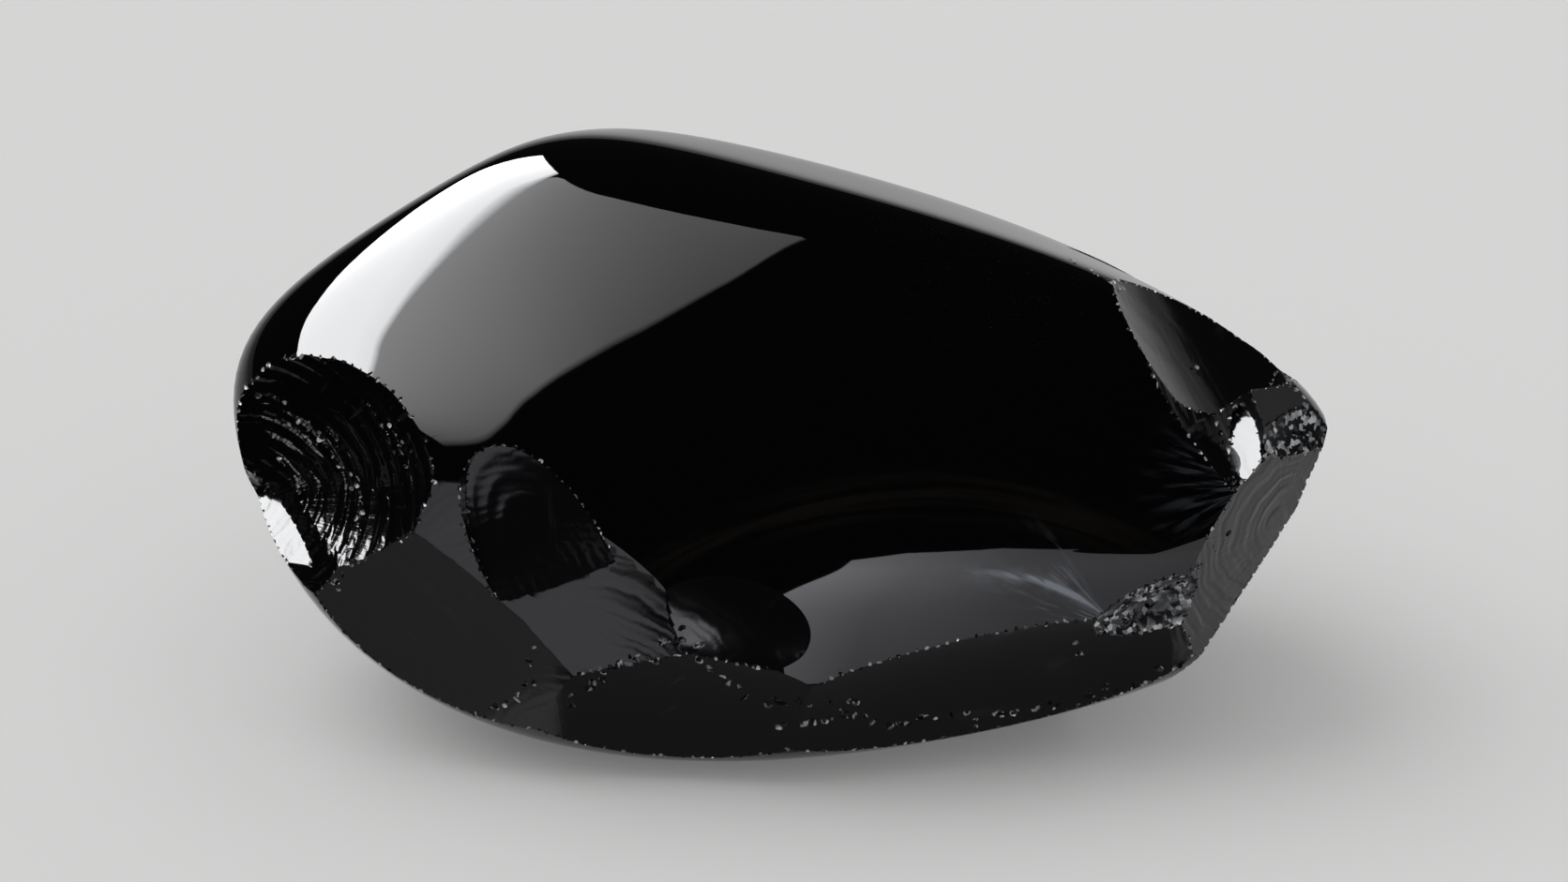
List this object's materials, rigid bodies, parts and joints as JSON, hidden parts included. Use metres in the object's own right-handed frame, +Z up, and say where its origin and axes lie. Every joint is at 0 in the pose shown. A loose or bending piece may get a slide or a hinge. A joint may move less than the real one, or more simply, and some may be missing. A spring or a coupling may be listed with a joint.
{
  "type": "obsidian chunk",
  "caption": "Fist-sized piece of polished black volcanic glass with shell-shaped flake scars along its lower edge and both ends, resting on a flat.",
  "frame": {"origin": "under the middle of the chunk's box, on the surface that it rests on", "axes": "+Z up, +X along the chunk's length, the broad polished face looking to -Y and up"},
  "size_m": [0.1006, 0.055, 0.0553],
  "materials": {
    "obsidian": "polished black volcanic glass, opaque, with fresh glassy fracture"
  },
  "bodies": {
    "root": {"obsidian_chunk": "obsidian"}
  },
  "joints": []
}
